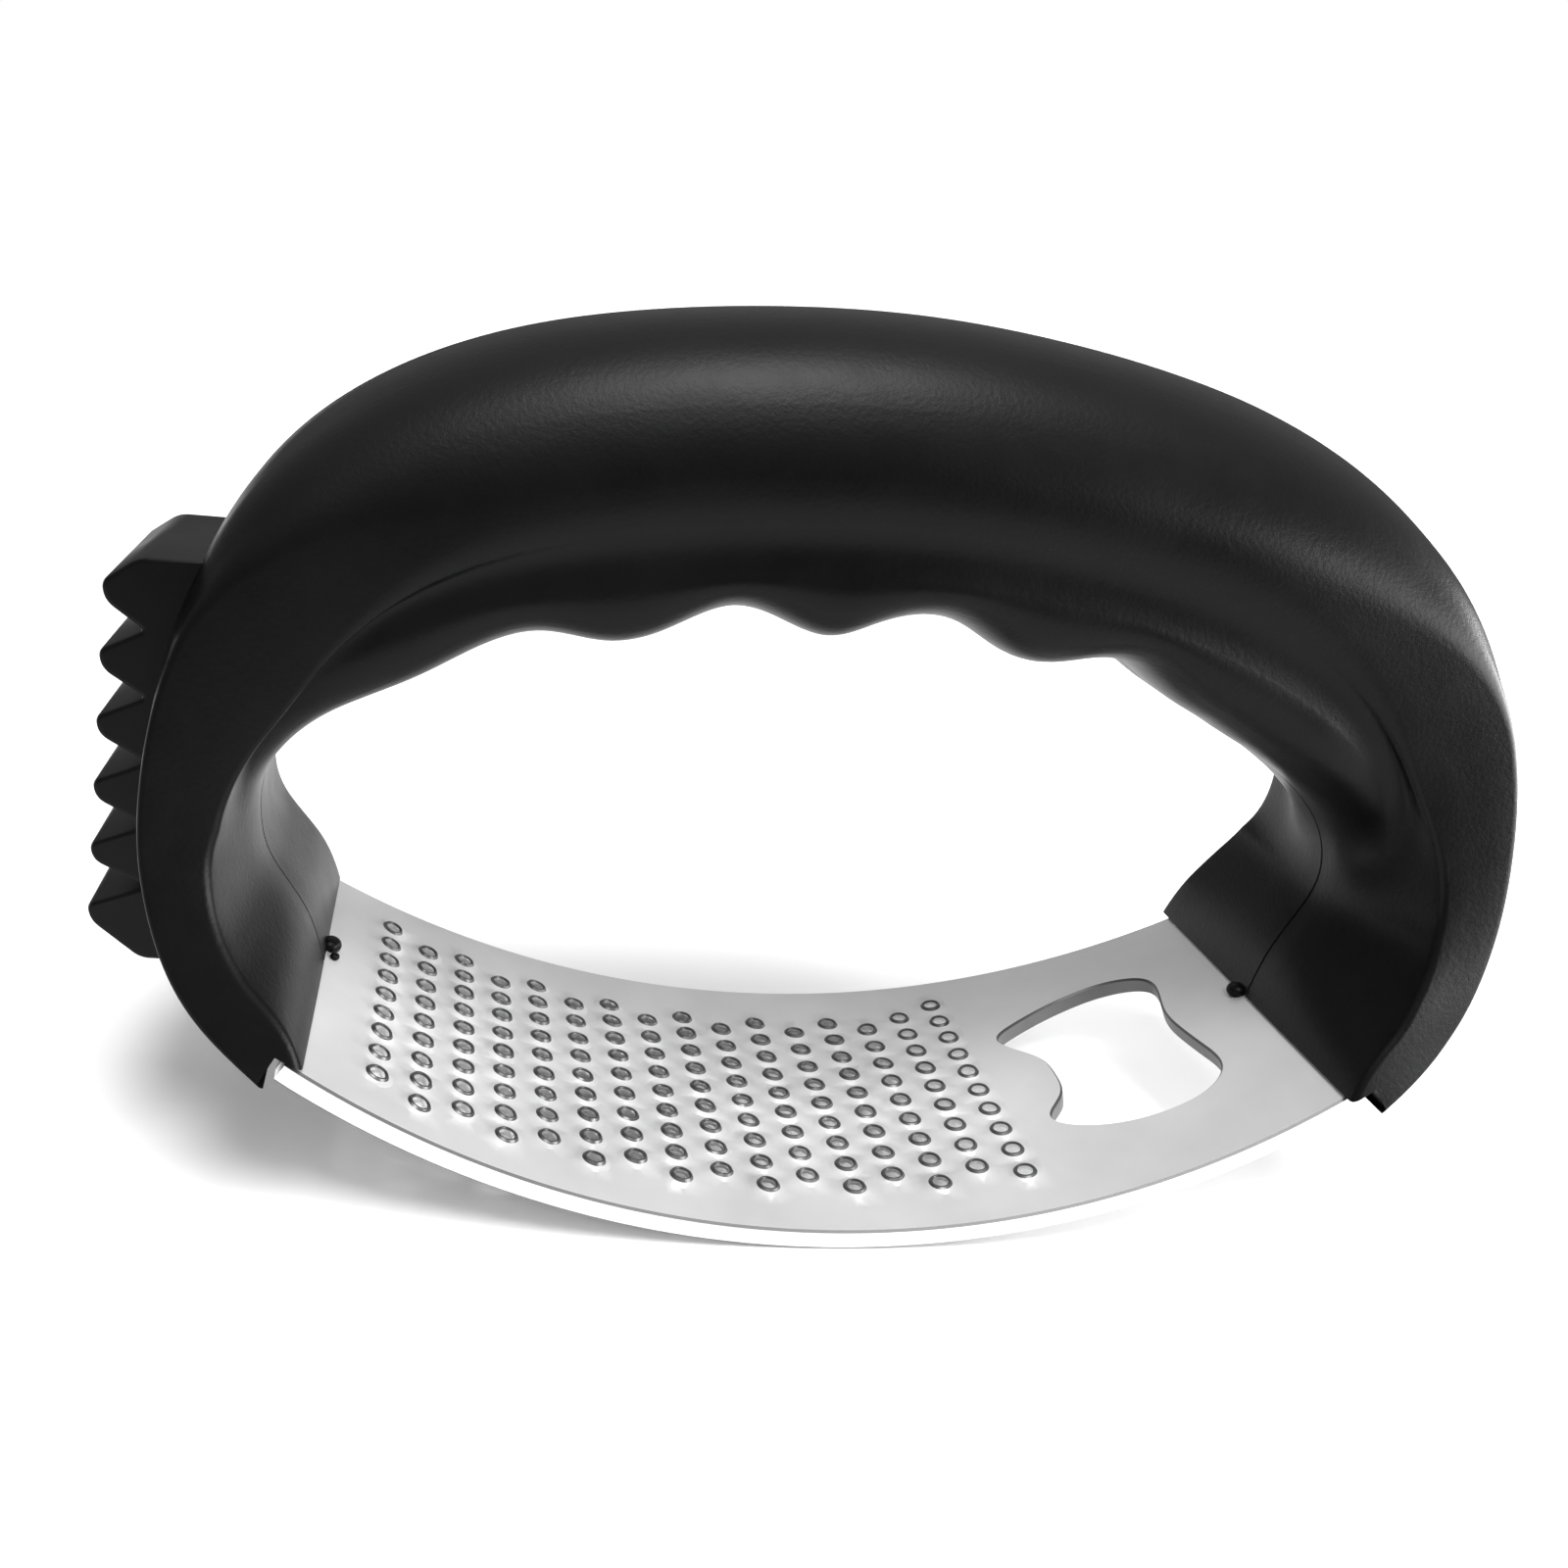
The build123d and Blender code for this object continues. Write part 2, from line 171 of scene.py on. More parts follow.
# The underside's wave: (x, z) of its ridges and groove tops
FINGER_WAVE = [
    (-46.4, 46.0), (-41.4, 48.6), (-36.5, 51.6), (-31.6, 53.2), (-26.1, 52.7), (-21.4, 53.8),
    (-15.2, 56.8), (-9.6, 55.7), (-5.4, 54.8), (-1.8, 56.2), (2.8, 57.5), (7.3, 56.7), (11.6, 54.5),
    (15.2, 53.9), (20.4, 54.8), (24.4, 54.2), (29.0, 51.4), (34.0, 49.0), (38.8, 46.7),
]
WAVE_STATION = 5  # the first station that the wave reaches
WAVE_SHARE = 0.30  # how much of the section's length rises with the wave
WAVE_FADE_LEFT = 5
WAVE_FADE_RIGHT = 6

# Comb on the left leg
COMB_BASE_X = -58.6
COMB_VALLEY_X = -64.6
COMB_TIP_X = -69.9
COMB_LEAN = 0.36
COMB_HALF_DEPTH = 9.5
COMB_BOTTOM_Z = 20.9
COMB_TOP_Z = 57.7
COMB_TEETH = 6
COMB_FIRST_TIP_Z = 25.7
COMB_PITCH = 5.85
# A tooth's two tip corners: (in from the tip's x, up from the tip's z, rounding)
TOOTH_TIP = [(0.5, -1.2, 0.9), (0.2, 0.5, 0.8)]
VALLEY_DROP = 0.5
VALLEY_ROUNDING = 0.35
COMB_BOTTOM_STEP = 0.6
COMB_TOP_STEP = 0.3
COMB_END_ROUNDING = 0.9
COMB_BEVEL = 0.35
COMB_CAP_INSET = 0.1
FLAT_ANGLE = 30  # the same for the comb and the plate

# The wells for the screws' heads, as (x, z) on each side
SCREW_PLACES = ((50.9, 54.7), (23.75, 66.8))
SCREW_HEAD_Y = 5.0
HEAD_WELL_RADIUS = 3.2

# The stage, in metres about the loop's middle, with the camera's angles in degrees
FLOOR_WHITE = (0.86, 0.86, 0.86)
FLOOR_REACH = 12.0
FLOOR_FRONT_Y = -0.17
CAMERA_PLACE = (-0.04004, -0.1331, 0.08735)
CAMERA_TURN = 11.09
CAMERA_TILT = 20.2
CAMERA_ROLL = 7.35

# The middle range of Blender's noise, which the materials spread over their own ranges
TEXTURE_LOW = 0.3
TEXTURE_HIGH = 0.7


# ---------------------------------------------------------------- small tools


def into_frame(points):
    """Millimetres about the loop's middle to metres in the frame."""
    return [(x * MM + RING_CENTRE_X, y * MM, z * MM) for x, y, z in points]


def make_object(name, points, faces, material, node_names, smooth_angle=HANDLE_ANGLE):
    """A mesh object that rides on the press and stands for the named CAD nodes."""
    mesh = bpy.data.meshes.new(name)
    mesh.from_pydata(into_frame(points), [], faces)
    mesh.validate()
    obj = bpy.data.objects.new(name, mesh)
    bpy.context.scene.collection.objects.link(obj)
    tidy_mesh(mesh)
    finish_shading(mesh, smooth_angle)
    mesh.materials.append(material)
    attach(obj, "root")
    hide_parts(*node_names)
    return obj


def tidy_mesh(mesh):
    """Merges doubled points and turns every face outwards."""
    work = bmesh.new()
    work.from_mesh(mesh)
    bmesh.ops.remove_doubles(work, verts=work.verts, dist=1e-6)
    bmesh.ops.recalc_face_normals(work, faces=work.faces)
    work.to_mesh(mesh)
    work.free()


def finish_shading(mesh, smooth_angle):
    """Smooth shading, with the edges sharper than the angle, in degrees, kept sharp."""
    mesh.shade_smooth()
    mesh.set_sharp_from_angle(angle=radians(smooth_angle))


def natural_spline(places, values, at):
    """A natural cubic spline through values at the places, worked out at the given places."""
    places = np.asarray(places, float)
    values = np.asarray(values, float).reshape(len(places), -1)
    gaps = np.diff(places)
    count = len(places)
    system = np.eye(count)
    right = np.zeros_like(values)
    for i in range(1, count - 1):
        system[i, i - 1:i + 2] = gaps[i - 1], 2 * (gaps[i - 1] + gaps[i]), gaps[i]
        right[i] = 6 * ((values[i + 1] - values[i]) / gaps[i] - (values[i] - values[i - 1]) / gaps[i - 1])
    bend = np.linalg.solve(system, right)
    at = np.asarray(at, float)
    k = np.clip(np.searchsorted(places, at) - 1, 0, count - 2)
    h = gaps[k][:, None]
    a = ((places[k + 1] - at)[:, None]) / h
    b = 1 - a
    curve = a * values[k] + b * values[k + 1]
    return curve + ((a**3 - a) * bend[k] + (b**3 - b) * bend[k + 1]) * h**2 / 6


def smooth_step(t):
    """0 up to t = 0, 1 from t = 1, and an even S between."""
    t = np.clip(t, 0.0, 1.0)
    return t * t * (3 - 2 * t)


def mix(a, b, t):
    """From a at t = 0 to b at t = 1."""
    return a + (b - a) * t


# ---------------------------------------------------------------- materials


def new_material(name, base, roughness, metallic=0.0, ior=1.45):
    """A plain material, with its node tree and its shader for the rest."""
    material = bpy.data.materials.new(name)
    material.use_nodes = True
    shader = material.node_tree.nodes["Principled BSDF"]
    shader.inputs["Base Color"].default_value = (*base, 1)
    shader.inputs["Roughness"].default_value = roughness
    shader.inputs["Metallic"].default_value = metallic
    shader.inputs["IOR"].default_value = ior
    return material, material.node_tree, shader


def noise(tree, scale, detail=3.0, roughness=0.55):
    """Noise in the object's own coordinates; scale is per metre."""
    where = tree.nodes.new("ShaderNodeTexCoord")
    texture = tree.nodes.new("ShaderNodeTexNoise")
    texture.inputs["Scale"].default_value = scale
    texture.inputs["Detail"].default_value = detail
    texture.inputs["Roughness"].default_value = roughness
    tree.links.new(where.outputs["Object"], texture.inputs["Vector"])
    return texture


def ranged(tree, source, low, high, from_low=TEXTURE_LOW, from_high=TEXTURE_HIGH):
    """Maps a texture's middle range to low..high."""
    node = tree.nodes.new("ShaderNodeMapRange")
    node.inputs["From Min"].default_value = from_low
    node.inputs["From Max"].default_value = from_high
    node.inputs["To Min"].default_value = low
    node.inputs["To Max"].default_value = high
    tree.links.new(source, node.inputs["Value"])
    return node.outputs["Result"]


def grey_ramp(tree, source, dark, light):
    """Maps a texture's middle range to the colours from dark to light."""
    ramp = tree.nodes.new("ShaderNodeValToRGB")
    first, second = ramp.color_ramp.elements
    first.position = TEXTURE_LOW
    first.color = (*dark, 1)
    second.position = TEXTURE_HIGH
    second.color = (*light, 1)
    tree.links.new(source, ramp.inputs["Fac"])
    return ramp.outputs["Color"]


def add_bump(tree, shader, source, distance, strength=1.0, under=None):
    """Bump from a texture, in metres, on top of another bump if one is given."""
    bump = tree.nodes.new("ShaderNodeBump")
    bump.inputs["Strength"].default_value = strength
    bump.inputs["Distance"].default_value = distance
    tree.links.new(source, bump.inputs["Height"])
    if under:
        tree.links.new(under.outputs["Normal"], bump.inputs["Normal"])
    tree.links.new(bump.outputs["Normal"], shader.inputs["Normal"])
    return bump


def black_plastic(name, base, roughness, grain):
    """Moulded plastic: spark-eroded grain, a little unevenness in the gloss and faint rubbed patches."""
    material, tree, shader = new_material(name, base, roughness, ior=1.22)
    fine = noise(tree, 2100, detail=3.0, roughness=0.6)
    broad = noise(tree, 45, detail=4.0)
    rubbed = noise(tree, 260, detail=5.0, roughness=0.65)
    lighter = [channel * 1.5 + 0.001 for channel in base]
    colour = grey_ramp(tree, broad.outputs["Fac"], base, lighter)
    tree.links.new(colour, shader.inputs["Base Color"])
    gloss = ranged(tree, broad.outputs["Fac"], roughness - 0.03, roughness + 0.03)
    rubbing = ranged(tree, rubbed.outputs["Fac"], -0.02, 0.03)
    blend = tree.nodes.new("ShaderNodeMath")
    blend.operation = "ADD"
    tree.links.new(gloss, blend.inputs[0])
    tree.links.new(rubbing, blend.inputs[1])
    tree.links.new(blend.outputs["Value"], shader.inputs["Roughness"])
    soft = add_bump(tree, shader, rubbed.outputs["Fac"], distance=0.00003, strength=0.25)
    add_bump(tree, shader, fine.outputs["Fac"], distance=grain, strength=0.9, under=soft)
    return material


def satin_steel(name, base, roughness, metallic):
    """Blasted stainless steel: even satin grey with a fine tooth and faint clouds."""
    material, tree, shader = new_material(name, base, roughness, metallic, ior=1.8)
    fine = noise(tree, 3200, detail=2.0, roughness=0.6)
    cloud = noise(tree, 60, detail=4.0)
    lighter = [min(1.0, channel * 1.08) for channel in base]
    darker = [channel * 0.93 for channel in base]
    colour = grey_ramp(tree, cloud.outputs["Fac"], darker, lighter)
    tree.links.new(colour, shader.inputs["Base Color"])
    gloss = ranged(tree, cloud.outputs["Fac"], roughness - 0.04, roughness + 0.05)
    tree.links.new(gloss, shader.inputs["Roughness"])
    add_bump(tree, shader, fine.outputs["Fac"], distance=0.000012, strength=0.5)
    return material


# ---------------------------------------------------------------- loop handle


def grip_share(station):
    """0 on the plain leg, 1 on the grip, with a smooth change between."""
    return smooth_step((station - LEG_STATION) / (GRIP_STATION - LEG_STATION))


def loop_path():
    """Even steps along the loop, left end to right end: the station values, station number and side."""
    crown = len(STATIONS) - 1
    numbers = [*range(crown), *range(crown, -1, -1)]
    rows = []
    for k, number in enumerate(numbers):
        side, inner = (-1, INNER_LEFT) if k < crown else (1, INNER_RIGHT)
        ox, oz, drop, face = STATIONS[number]
        ix, iz = inner[number]
        rows.append((side * ox, oz, side * ix, iz, drop, face))
    rows = np.array(rows)
    middles = (rows[:, :2] + rows[:, 2:4]) / 2
    steps = np.hypot(*np.diff(middles, axis=0).T)
    along = np.concatenate([[0], np.cumsum(steps)])
    at = np.linspace(0, along[-1], LOOP_STEPS)
    values = natural_spline(along, rows, at)
    number = np.interp(at, along, numbers)
    return values, number


def finger_wave(x):
    """How far the underside stands above the plain inner line at x."""
    xs, zs = zip(*FINGER_WAVE)
    wave = natural_spline(xs, zs, x)[:, 0]
    left = [(-inner_x, inner_z) for inner_x, inner_z in INNER_LEFT[WAVE_STATION:]]
    right = list(reversed(INNER_RIGHT[WAVE_STATION:-1]))
    plain_xs, plain_zs = zip(*(left + right))
    plain = natural_spline(plain_xs, plain_zs, x)[:, 0]
    fade_in = smooth_step((x - xs[0]) / WAVE_FADE_LEFT)
    fade_out = smooth_step((xs[-1] - x) / WAVE_FADE_RIGHT)
    return (wave - plain) * (fade_in * fade_out)


def mixed_corner(one, other, share):
    """A corner between two others: (distance in from the crest, depth, rounding)."""
    return tuple(mix(a, b, share) for a, b in zip(one, other))


def section_corners(length, drop, face, station, band_width, band_share, right):
    """Half of the handle's section as corners (distance in from the crest, depth, rounding).

    The band leans inwards on the comb's side and outwards on the other; right goes from 0 to 1 between.
    A leg's sloping inner side turns into the grip's full flank with share, its crisp edges soften with
    soft, and foot goes from 0 at the loop's end to 1 a little way up.
    """
    share = float(grip_share(station))
    soft = float(smooth_step((station - SOFT_FROM) / (SOFT_TO - SOFT_FROM)))
    foot = float(smooth_step(station / FOOT_STATION))
    ridge = min(drop + band_width, mix(1.0, band_share, foot) * length)
    band_back = face - mix(BAND_SETBACK, FLANK_SETBACK, right)
    band_edge = face - RIGHT_EDGE_SETBACK * right * (1 - soft) * foot
    shoulder = drop + SOFT_SHOULDER * soft
    crest_depth = mix(CRISP_CREST_SHARE, SOFT_CREST_SHARE, soft) * face
    slope = mix(CRISP_SLOPE_SHARE * drop, SOFT_SLOPE_SHARE * shoulder, soft)
    edge_rounding = mix(mix(LEFT_EDGE_ROUNDING, RIGHT_EDGE_ROUNDING, right * foot), SOFT_EDGE_ROUNDING, soft)
    band_end_depth = mix(band_back, face - FLANK_SETBACK, share)
    band_end_rounding = mix(LEFT_EDGE_ROUNDING, 2.6, soft)
    leg_side = [
        (mix(ridge, length, 0.5), 0.64 * band_back, 2.0),
        (mix(ridge, length, 0.9), 0.32 * band_back, 2.5),
        (length, 0.14 * band_back, 1.0),
    ]
    grip_side = [
        (0.65 * length, face - 1.7, 4.0),
        (0.86 * length, face - 0.8, 4.2),
        (length, 0.62 * face, 4.6),
    ]
    return [
        (0.0, 0.0, 0.0),
        (0.0, crest_depth, mix(1.0, 3.5, soft)),
        (slope, SLOPE_DEPTH_SHARE * face, mix(1.5, 3.7, soft)),
        (shoulder, band_edge, edge_rounding),
        (mix(ridge, GRIP_FLANK_TOP, share), band_end_depth, band_end_rounding),
        *(mixed_corner(leg, grip, share) for leg, grip in zip(leg_side, grip_side)),
        (length, 0.0, 0.0),
    ]


def rounded(corners):
    """Points along the corners, with each one rounded by a parabola; the same count whatever the sizes."""
    points = [np.array(c[:2]) for c in corners]
    out = []
    starts = []
    ends = []
    for i in range(1, len(points) - 1):
        before = points[i - 1] - points[i]
        after = points[i + 1] - points[i]
        reach = corners[i][2]
        far_before = 1.0 if i == 1 else 0.5
        far_after = 1.0 if i == len(points) - 2 else 0.5
        a = min(reach, far_before * np.linalg.norm(before) * 0.98)
        b = min(reach, far_after * np.linalg.norm(after) * 0.98)
        starts.append(points[i] + before / max(np.linalg.norm(before), 1e-9) * a)
        ends.append(points[i] + after / max(np.linalg.norm(after), 1e-9) * b)
    last = points[0]
    for i, (start, end) in enumerate(zip(starts, ends)):
        for k in range(LEG_STEPS):
            out.append(mix(last, start, k / LEG_STEPS))
        for k in range(CORNER_STEPS):
            t = k / CORNER_STEPS
            corner = points[i + 1]
            out.append((1 - t) ** 2 * start + 2 * t * (1 - t) * corner + t * t * end)
        last = end
    for k in range(LEG_STEPS + 1):
        out.append(mix(last, points[-1], k / LEG_STEPS))
    return np.array(out)


def seamed(profile, length):
    """Sinks the two ends of the profile into a hairline groove at the parting plane."""
    profile = profile.copy()
    inner = profile[1:-1]
    crest = [(SEAM_DEPTH, 0.0), (0.0, SEAM_WIDTH)]
    under = [(length, SEAM_WIDTH), (length - SEAM_DEPTH, 0.0)]
    return np.vstack([crest, inner, under])


def handle_grid(band_share=BAND_SHARE, extra=0.0):
    """Half of the handle's outer skin as rows of points, left end to right end, with depths above zero."""
    values, numbers = loop_path()
    rows = []
    for value, number in zip(values, numbers):
        ox, oz, ix, iz, drop, face = value
        length = hypot(ox - ix, oz - iz)
        band = (BAND_WIDTH_LEFT if ox < 0 else BAND_WIDTH_RIGHT) + extra
        right = float(smooth_step((ox + SIDE_CHANGE) / (2 * SIDE_CHANGE)))
        corners = section_corners(length, max(drop, 0.0), face, number, band, band_share, right)
        profile = seamed(rounded(corners), length)
        t = profile[:, 0] / length
        x = np.clip(mix(ox, ix, t), -HALF_LENGTH, HALF_LENGTH)
        z = mix(oz, iz, t)
        rise = finger_wave(np.array([ix]))[0]
        z = z + rise * smooth_step((t - (1 - WAVE_SHARE)) / WAVE_SHARE)
        rows.append(np.stack([x, profile[:, 1], z], axis=1))
    return np.array(rows)


def handle_half(name, sign, grid, material, node, cutter):
    """One shell: the skin, its parting face and its two ends, less the cutter."""
    rows, columns = grid.shape[:2]
    points = [(x, sign * y, z) for row in grid for x, y, z in row]
    faces = []
    for i in range(rows - 1):
        for j in range(columns - 1):
            a = i * columns + j
            faces.append((a, a + 1, a + columns + 1, a + columns))
        faces.append((i * columns, (i + 1) * columns, (i + 2) * columns - 1, (i + 1) * columns - 1))
    faces.append(tuple(range(columns)))
    faces.append(tuple((rows - 1) * columns + j for j in range(columns)))
    obj = make_object(name, points, faces, material, [node])
    cut(obj, cutter)
    finish_shading(obj.data, HANDLE_ANGLE)


def cut(obj, cutter):
    """Takes the cutter's shape out of obj."""
    modifier = obj.modifiers.new("cut", "BOOLEAN")
    modifier.operation = "DIFFERENCE"
    modifier.solver = "EXACT"
    modifier.object = cutter
    bpy.context.view_layer.update()
    shape = obj.evaluated_get(bpy.context.evaluated_depsgraph_get())
    mesh = bpy.data.meshes.new_from_object(shape)
    old = obj.data
    obj.modifiers.clear()
    obj.data = mesh
    mesh.name = old.name
    bpy.data.meshes.remove(old)


def cutter_object(points, faces):
    """A closed shape for the cuts, which is removed after them."""
    mesh = bpy.data.meshes.new("cutter")
    mesh.from_pydata(into_frame(points), [], faces)
    obj = bpy.data.objects.new("cutter", mesh)
    bpy.context.scene.collection.objects.link(obj)
    tidy_mesh(mesh)
    return obj


def notch_band(points, faces):
    """The plate's slot in each leg, over the full depth; its mouth is deeper below the plate."""
    for side in (-1, 1):
        base = len(points)
        for k in range(MOUTH_STEPS + 1):
            arc = side * mix(MOUTH_NEAR_ARC, MOUTH_FAR_ARC, k / MOUTH_STEPS)
            below = MOUTH_DEPTH if k < MOUTH_STEPS - 2 else 0.0
            for y in (-PAST_SKIN, PAST_SKIN):
                points.append(on_plate(arc, y, LIP_GAP))
                points.append(on_plate(arc, y, -PLATE_THICKNESS - below))
        for k in range(MOUTH_STEPS):
            a = base + 4 * k
            b = a + 4
            faces += [(a, a + 2, b + 2, b), (a + 1, b + 1, b + 3, a + 3)]
            faces += [(a, b, b + 1, a + 1), (a + 2, a + 3, b + 3, b + 2)]
        last = base + 4 * MOUTH_STEPS
        faces += [(base, base + 1, base + 3, base + 2), (last, last + 2, last + 3, last + 1)]


def well(points, faces, x, z, y0, y1, radius, segments=40):
    """A cylinder along Y."""
    base = len(points)
    for y in (y0, y1):
        for k in range(segments):
            turn = 2 * pi * k / segments
            points.append((x + radius * cos(turn), y, z + radius * sin(turn)))
    join_rings(faces, [base, base + segments], segments)
    faces.append(tuple(base + k for k in range(segments)))
    faces.append(tuple(base + segments + k for k in range(segments)))


def make_handle(material):
    """The two shells, cut for the plate, and the back one for the screws' heads too."""
    points, faces = [], []
    notch_band(points, faces)
    front_cutter = cutter_object(points, faces)
    handle_half("front_shell_skin", -1, handle_grid(), material, "handle_front_shell", front_cutter)
    for x, z in SCREW_PLACES:
        for side in (-1, 1):
            well(points, faces, side * x, z, SCREW_HEAD_Y, PAST_SKIN, HEAD_WELL_RADIUS)
    back_cutter = cutter_object(points, faces)
    back_grid = handle_grid(BACK_BAND_SHARE, BACK_BAND_EXTRA)
    handle_half("back_shell_skin", 1, back_grid, material, "handle_back_shell", back_cutter)
    for cutter in (front_cutter, back_cutter):
        bpy.data.objects.remove(cutter)


def make_nub(name, arc, y, radius, material):
    """A small flattened knob moulded at the end of the parting line, standing on the plate."""
    mesh = bpy.data.meshes.new(name)
    work = bmesh.new()
    bmesh.ops.create_uvsphere(work, u_segments=24, v_segments=14, radius=radius)
    for vert in work.verts:
        vert.co.z *= NUB_FLATTENING
        vert.co += Vector(on_plate(arc, y, NUB_HEIGHT))
    work.to_mesh(mesh)
    work.free()
    mesh.transform(Matrix.Translation((RING_CENTRE_X, 0, 0)) @ Matrix.Scale(MM, 4))
    obj = bpy.data.objects.new(name, mesh)
    bpy.context.scene.collection.objects.link(obj)
    mesh.shade_smooth()
    mesh.materials.append(material)
    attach(obj, "root")


# ---------------------------------------------------------------- rocker plate


def on_plate(arc, y, height=0.0):
    """The place at an arc length along the plate and a height over its top face."""
    angle = arc / PLATE_RADIUS
    radius = PLATE_RADIUS - height
    return (radius * sin(angle), y, PLATE_CENTRE_Z - radius * cos(angle))


def hole_centres():
    """The holes' centres as (arc, y), in staggered columns with one hole more in the last."""
    centres = []
    for column in range(HOLE_COLUMNS):
        arc = FIELD_CENTRE_ARC + (column + 0.5 - HOLE_COLUMNS / 2) * COLUMN_PITCH
        last = column == HOLE_COLUMNS - 1
        first_row = -0.5 if last else 0.5 * (column % 2)
        for row in range(HOLES_PER_COLUMN + last):
            rows_up = HOLES_PER_COLUMN / 2 - 0.25 - first_row - row
            centres.append((arc, FIELD_CENTRE_ROW + rows_up * ROW_PITCH))
    return centres


def even_steps(points, step):
    """The closed line through the points, in even steps."""
    points = np.array(points)
    closed = np.vstack([points, points[:1]])
    lengths = np.hypot(*np.diff(closed, axis=0).T)
    along = np.concatenate([[0], np.cumsum(lengths)])
    count = int(round(along[-1] / step))
    at = np.linspace(0, along[-1], count, endpoint=False)
    return np.stack([np.interp(at, along, closed[:, k]) for k in (0, 1)], axis=1)


def plate_outline(inset):
    """The plate's outline as (arc, y), with sides that bow out."""
    reach = PLATE_REACH + PLATE_HIDDEN
    count = 84
    line = []
    for k in range(count + 1):
        arc = mix(-reach, reach, k / count)
        bulge = PLATE_BULGE * (1 - (arc / PLATE_REACH) ** 2)
        line.append((arc, -(PLATE_HALF_WIDTH + bulge - inset)))
    back = [(arc, -y) for arc, y in reversed(line)]
    return np.array(line + back)


def opener_outline():
    """The opener's outline as (arc, y): a round tongue faces a waved far side."""
    near, far = OPENER_NEAR_ARC, OPENER_FAR_ARC
    knots = [
        (near + 0.3, -8.3), (near + 2.6, -5.0), (near + 3.4, -1.0), (near + 2.6, 3.0), (near - 0.2, 7.0),
        (near + 2.2, 9.6), (near + 7.0, 11.6), (near + 12.6, 12.6), (near + 17.2, 11.7),
        (far + 0.1, 8.9), (far - 0.9, 4.2), (far - 0.9, 0.0), (far - 0.2, -4.2),
        (far - 0.1, -8.4), (far - 3.6, -11.2), (near + 9.4, -12.0), (near + 3.4, -10.9),
    ]
    overlap = 3
    ring = np.array(knots[-overlap:] + knots + knots[:overlap])
    places = np.arange(len(ring)) - float(overlap)
    at = np.linspace(0, len(knots), OPENER_POINTS, endpoint=False)
    return natural_spline(places, ring, at)


def inside(points, polygon):
    """Whether each point is inside the polygon."""
    result = np.zeros(len(points), bool)
    x, y = points[:, 0], points[:, 1]
    for (x0, y0), (x1, y1) in zip(polygon, np.roll(polygon, -1, axis=0)):
        crosses = (y0 > y) != (y1 > y)
        with np.errstate(divide="ignore", invalid="ignore"):
            place = (x1 - x0) * (y - y0) / (y1 - y0) + x0
        result ^= crosses & (x < place)
    return result


def nearest(points, others):
    """Each point's distance to the nearest of the others."""
    gaps = points[:, None, :] - np.array(others)[None]
    return np.min(np.hypot(gaps[..., 0], gaps[..., 1]), axis=1)


def plate_field(outline, opener, centres):
    """The flat part of the plate as points and triangles, and where each loop of its points starts."""
    outer_radius = CRATER[-1][0]
    turns = 2 * pi * np.arange(HOLE_SEGMENTS) / HOLE_SEGMENTS
    loops = [outline, opener]
    for arc, y in centres:
        ring = (arc + outer_radius * np.cos(turns), y + outer_radius * np.sin(turns))
        loops.append(np.stack(ring, axis=1))
    edges = []
    starts = []
    base = 0
    for loop in loops:
        count = len(loop)
        starts.append(base)
        edges += [(base + k, base + (k + 1) % count) for k in range(count)]
        base += count
    low, high = outline.min(axis=0), outline.max(axis=0)
    arcs = np.arange(low[0], high[0], MESH_STEP)
    ys = np.arange(low[1], high[1], MESH_STEP)
    grid = np.stack(np.meshgrid(arcs, ys), -1).reshape(-1, 2)
    keep = inside(grid, outline) & ~inside(grid, opener)
    keep &= nearest(grid, np.vstack([outline, opener])) > EDGE_CLEARANCE
    keep &= nearest(grid, centres) > outer_radius + HOLE_CLEARANCE
    verts = [Vector(place) for place in np.vstack([*loops, grid[keep]])]
    result = delaunay_2d_cdt(verts, edges, [], 0, 1e-6)
    flat = np.array([tuple(vert) for vert in result[0]])
    triangles = [triangle for triangle in result[2] if len(triangle) == 3]
    middles = np.array([flat[list(triangle)].mean(axis=0) for triangle in triangles])
    good = inside(middles, outline) & ~inside(middles, opener)
    good &= nearest(middles, centres) > outer_radius * cos(pi / HOLE_SEGMENTS) * 0.97
    return flat, [triangle for triangle, kept in zip(triangles, good) if kept], starts


def add_crater(points, faces, centre, top_start, sole_start):
    """A hole's torn rim over the top face and its dimple in the sole; each rim is a little different."""
    arc, y = centre
    lift = random.uniform(*RIM_LIFT)
    tilt = random.uniform(0, 2 * pi)
    lean = random.uniform(0.0, RIM_LEAN)
    turns = [2 * pi * k / HOLE_SEGMENTS for k in range(HOLE_SEGMENTS)]
    rims = []
    for radius, up, _ in CRATER[:-1]:
        rims.append(len(points))
        for turn in turns:
            height = up * lift * (1 + lean * cos(turn - tilt) * 2)
            points.append(on_plate(arc + radius * cos(turn), y + radius * sin(turn), height))
    dimples = []
    for radius, _, up in CRATER[:-1]:
        dimples.append(len(points))
        height = up - PLATE_THICKNESS
        for turn in turns:
            points.append(on_plate(arc + radius * cos(turn), y + radius * sin(turn), height))
    join_rings(faces, [top_start, *reversed(rims), *dimples, sole_start], HOLE_SEGMENTS)


